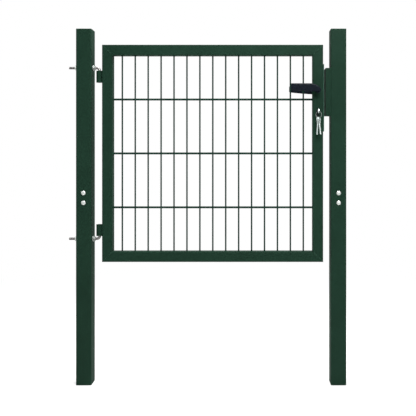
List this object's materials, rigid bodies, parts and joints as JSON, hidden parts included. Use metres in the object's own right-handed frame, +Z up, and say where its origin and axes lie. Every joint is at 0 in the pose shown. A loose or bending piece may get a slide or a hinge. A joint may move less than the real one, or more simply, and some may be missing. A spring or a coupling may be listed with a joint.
{
  "type": "metal garden gate",
  "caption": "Garden gate: a square-tube leaf filled with welded wires, hung on hook bolts between two square posts, with lever handles, a mortise lock, a keep box and a bunch of keys.",
  "frame": {"origin": "middle of the hinge post's foot, at ground level", "axes": "+X from the hinge post to the latch post, -Y to the side with the keys, +Z up"},
  "size_m": [1.084, 0.114, 1.384],
  "materials": {
    "green_paint": "dark green powder coat, satin",
    "zinc": "bright zinc plating",
    "lock_steel": "zinc-plated lock parts",
    "dark_steel": "dark coated lock faceplate and cylinder",
    "key_nickel": "nickel plate",
    "black_plastic": "black moulded plastic"
  },
  "bodies": {
    "posts": {"hinge_post": "green_paint", "latch_post": "green_paint", "hinge_post_cap": "green_paint", "latch_post_cap": "green_paint", "keep_box": "green_paint", "hinge_post_lower_bolt": "zinc", "hinge_post_lower_nut": "zinc", "hinge_post_upper_bolt": "zinc", "hinge_post_upper_nut": "zinc", "latch_post_lower_bolt": "zinc", "latch_post_lower_nut": "zinc", "latch_post_upper_bolt": "zinc", "latch_post_upper_nut": "zinc", "upper_hinge_bolt": "zinc", "upper_outer_washer": "zinc", "upper_outer_nut": "zinc", "upper_inner_washer": "zinc", "upper_inner_nut": "zinc", "lower_hinge_bolt": "zinc", "lower_outer_washer": "zinc", "lower_outer_nut": "zinc", "lower_inner_washer": "zinc", "lower_inner_nut": "zinc"},
    "leaf": {"top_rail": "green_paint", "bottom_rail": "green_paint", "hinge_stile": "green_paint", "lock_stile": "green_paint", "mesh_panel": "green_paint", "upper_hinge_bush": "green_paint", "lower_hinge_bush": "green_paint", "lock_case": "lock_steel", "lock_faceplate": "dark_steel", "latch_bolt": "lock_steel", "dead_bolt": "lock_steel", "lock_cylinder": "dark_steel", "key_in_lock": "key_nickel", "front_rose": "black_plastic", "back_rose": "black_plastic"},
    "handle": {"front_handle": "black_plastic", "back_handle": "black_plastic", "handle_spindle": "zinc"},
    "keys": {"key_ring": "key_nickel", "left_spare_key": "key_nickel", "right_spare_key": "key_nickel"}
  },
  "joints": [
    {"name": "leaf_swing", "type": "hinge", "parent": "posts", "child": "leaf", "pos_m": [0.0558, 0, 0.565], "axis": [0, 0, 1], "range_deg": [-90, 90]},
    {"name": "handle_turn", "type": "hinge", "parent": "leaf", "child": "handle", "pos_m": [0.911, 0, 1.145], "axis": [0, -1, 0], "range_deg": [0, 40], "stiffness_Nm_per_rad": 1.2, "springref_deg": -20.05},
    {"name": "key_ring_swing", "type": "hinge", "parent": "leaf", "child": "keys", "pos_m": [0.911, -0.042, 1.064], "axis": [-1, 0, 0], "range_deg": [-4, 60]}
  ]
}
